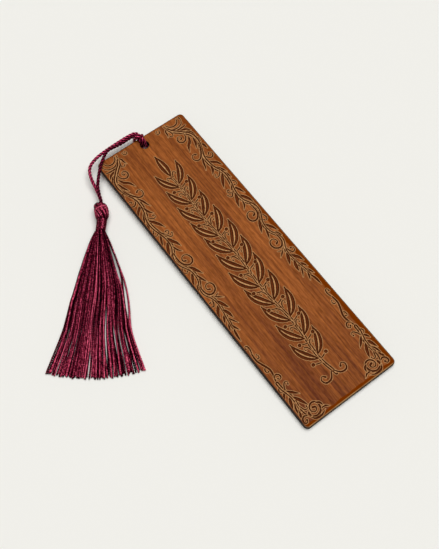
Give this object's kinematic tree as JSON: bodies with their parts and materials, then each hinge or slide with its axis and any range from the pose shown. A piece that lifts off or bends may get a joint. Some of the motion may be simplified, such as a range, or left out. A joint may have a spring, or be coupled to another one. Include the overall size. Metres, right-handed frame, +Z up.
{
  "type": "bookmark",
  "caption": "Slim wooden bookmark board with a carved front and a hole at one end, where a doubled twisted cord is hitched that carries a silky thread tassel.",
  "frame": {"origin": "on the table under the middle of the board, which leans by about half a degree on the cord that passes under its hole end", "axes": "+X across the board away from the tassel, +Y along the board towards its hole, +Z up from the table through the board's front"},
  "size_m": [0.0951, 0.1257, 0.0058],
  "materials": {
    "stained_wood": "satin",
    "cord_floss": "silky",
    "tassel_floss": "silky"
  },
  "bodies": {
    "board": {"board": "stained_wood", "cord_hitch": "cord_floss"},
    "cord": {"cord_leg_left": "cord_floss", "cord_leg_right": "cord_floss"},
    "tassel": {"cord_knot": "cord_floss", "head_cover": "tassel_floss", "neck_binding": "tassel_floss", "skirt_threads": "tassel_floss"}
  },
  "joints": [
    {"name": "cord_lift", "type": "hinge", "parent": "board", "child": "cord", "pos_m": [-0.00278, 0.06351, 0.004], "axis": [-1, 0, 0], "range_deg": [0, 180]},
    {"name": "tassel_swing", "type": "hinge", "parent": "cord", "child": "tassel", "pos_m": [-0.02585, 0.04759, 0.00272], "axis": [0, 0, 1], "range_deg": [-75, 20]}
  ]
}
